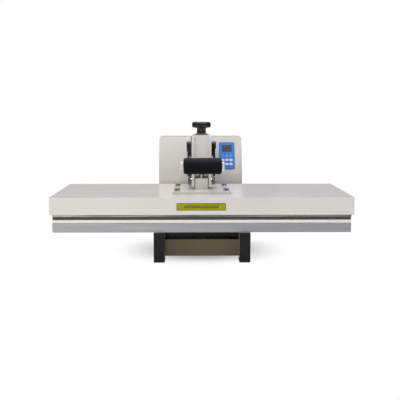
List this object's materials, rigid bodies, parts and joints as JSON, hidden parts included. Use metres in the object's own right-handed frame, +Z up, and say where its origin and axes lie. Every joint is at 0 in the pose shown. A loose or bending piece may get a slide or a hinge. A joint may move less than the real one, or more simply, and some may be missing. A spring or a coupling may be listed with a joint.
{
  "type": "heat press",
  "caption": "Clamshell transfer press: wide heated platen over a padded lower platen, hinged arm with toggle handle, pressure knob and rear control housing.",
  "frame": {"origin": "on the floor under the middle of the machine's bounding box", "axes": "+X to the operator's right along the platen, +Y from the operator to the back, +Z up"},
  "size_m": [1.015, 0.748, 0.4655],
  "materials": {
    "enamel": "satin powder coat",
    "shadow_enamel": "satin tan coat",
    "black_coat": "satin black coat",
    "zinc_steel": "zinc plated",
    "bright_chrome": "polished",
    "bearing_bronze": "sintered",
    "cast_aluminium": "brushed casting",
    "coated_plate": "non-stick coat",
    "heater_sheath": "heat tinted",
    "white_silicone": "matt",
    "glass_wool": "fibrous",
    "black_rubber": "matt",
    "black_plastic": "glossy",
    "dark_plastic": "matt",
    "blue_plastic": "satin",
    "dark_window": "glossy",
    "white_plastic": "satin",
    "red_plastic": "glossy",
    "yellow_film": "satin film"
  },
  "bodies": {
    "base": {"left_rail": "enamel", "right_rail": "enamel", "end_boots": "black_rubber", "cross_bars": "black_coat", "base_tray": "shadow_enamel", "hinge_base": "black_coat", "lower_platen": "cast_aluminium", "silicone_pad": "white_silicone", "left_upright": "enamel", "right_upright": "enamel", "upright_bolts": "zinc_steel", "hinge_pin": "zinc_steel", "hinge_nuts": "zinc_steel", "hinge_bushes": "bearing_bronze", "anchor_pins": "zinc_steel", "housing_shell": "enamel", "housing_back_panel": "enamel", "housing_screws": "zinc_steel", "controller_face": "blue_plastic", "display_window": "dark_window", "controller_case": "dark_plastic", "solid_state_relay": "cast_aluminium", "power_inlet": "dark_plastic", "fuse_holder": "dark_plastic", "switch_frame": "dark_plastic", "housing_gland": "dark_plastic"},
    "arm": {"arm_body": "enamel", "pressure_nut": "bright_chrome", "handle_shaft": "black_coat"},
    "upper_platen": {"yoke": "enamel", "yoke_pin": "bright_chrome", "mounting_plate": "enamel", "mount_bolts": "bright_chrome", "platen_spacers": "zinc_steel", "platen_cover": "enamel", "heater_plate": "cast_aluminium", "press_plate": "coated_plate", "heating_element": "heater_sheath", "insulation": "glass_wool", "blank_label": "yellow_film", "cover_gland": "dark_plastic"},
    "knob": {"star_knob": "black_plastic", "pressure_screw": "zinc_steel"},
    "handle": {"left_cheek": "black_coat", "right_cheek": "black_coat", "left_bar": "enamel", "right_bar": "enamel", "handle_bolts": "bright_chrome", "link_pins": "bright_chrome", "grip_rod": "zinc_steel", "foam_grip": "black_rubber"},
    "links": {"left_link": "black_coat", "right_link": "black_coat"},
    "rocker": {"power_rocker": "red_plastic"},
    "button_1": {"button_1": "white_plastic"},
    "button_2": {"button_2": "white_plastic"},
    "button_3": {"button_3": "white_plastic"},
    "button_4": {"button_4": "white_plastic"},
    "button_5": {"button_5": "white_plastic"},
    "button_6": {"button_6": "white_plastic"}
  },
  "joints": [
    {"name": "arm_hinge", "type": "hinge", "parent": "base", "child": "arm", "pos_m": [0, 0.287, 0.235], "axis": [-1, 0, 0], "range_deg": [0, 45]},
    {"name": "platen_height", "type": "slide", "parent": "arm", "child": "upper_platen", "axis": [0, 0, 1], "range_m": [0, 0.006]},
    {"name": "knob_turn", "type": "hinge", "parent": "upper_platen", "child": "knob", "pos_m": [0, -0.053, 0.45], "axis": [0, 0, 1], "range_deg": [0, 1081]},
    {"name": "handle_pivot", "type": "hinge", "parent": "arm", "child": "handle", "pos_m": [0, -0.008, 0.38], "axis": [-1, 0, 0], "range_deg": [0, 49]},
    {"name": "link_pivot", "type": "hinge", "parent": "handle", "child": "links", "pos_m": [0, 0.13002, 0.35656], "axis": [1, 0, 0], "range_deg": [0, 68]},
    {"name": "rocker_tilt", "type": "hinge", "parent": "base", "child": "rocker", "pos_m": [0.11, 0.365, 0.2], "axis": [1, 0, 0], "range_deg": [0, 16]},
    {"name": "button_1_press", "type": "slide", "parent": "base", "child": "button_1", "axis": [0, 0.9063, -0.4226], "range_m": [0, 0.0008], "stiffness_N_per_m": 400, "springref_m": -0.0005},
    {"name": "button_2_press", "type": "slide", "parent": "base", "child": "button_2", "axis": [0, 0.9063, -0.4226], "range_m": [0, 0.0008], "stiffness_N_per_m": 400, "springref_m": -0.0005},
    {"name": "button_3_press", "type": "slide", "parent": "base", "child": "button_3", "axis": [0, 0.9063, -0.4226], "range_m": [0, 0.0008], "stiffness_N_per_m": 400, "springref_m": -0.0005},
    {"name": "button_4_press", "type": "slide", "parent": "base", "child": "button_4", "axis": [0, 0.9063, -0.4226], "range_m": [0, 0.0008], "stiffness_N_per_m": 400, "springref_m": -0.0005},
    {"name": "button_5_press", "type": "slide", "parent": "base", "child": "button_5", "axis": [0, 0.9063, -0.4226], "range_m": [0, 0.0008], "stiffness_N_per_m": 400, "springref_m": -0.0005},
    {"name": "button_6_press", "type": "slide", "parent": "base", "child": "button_6", "axis": [0, 0.9063, -0.4226], "range_m": [0, 0.0008], "stiffness_N_per_m": 400, "springref_m": -0.0005}
  ],
  "couplings": [
    {"joint": "handle_pivot", "follows": "arm_hinge", "ratio": 1.0534},
    {"joint": "link_pivot", "follows": "arm_hinge", "ratio": 1.4857},
    {"joint": "knob_turn", "follows": "platen_height", "rad_per_m": 3141.6}
  ]
}
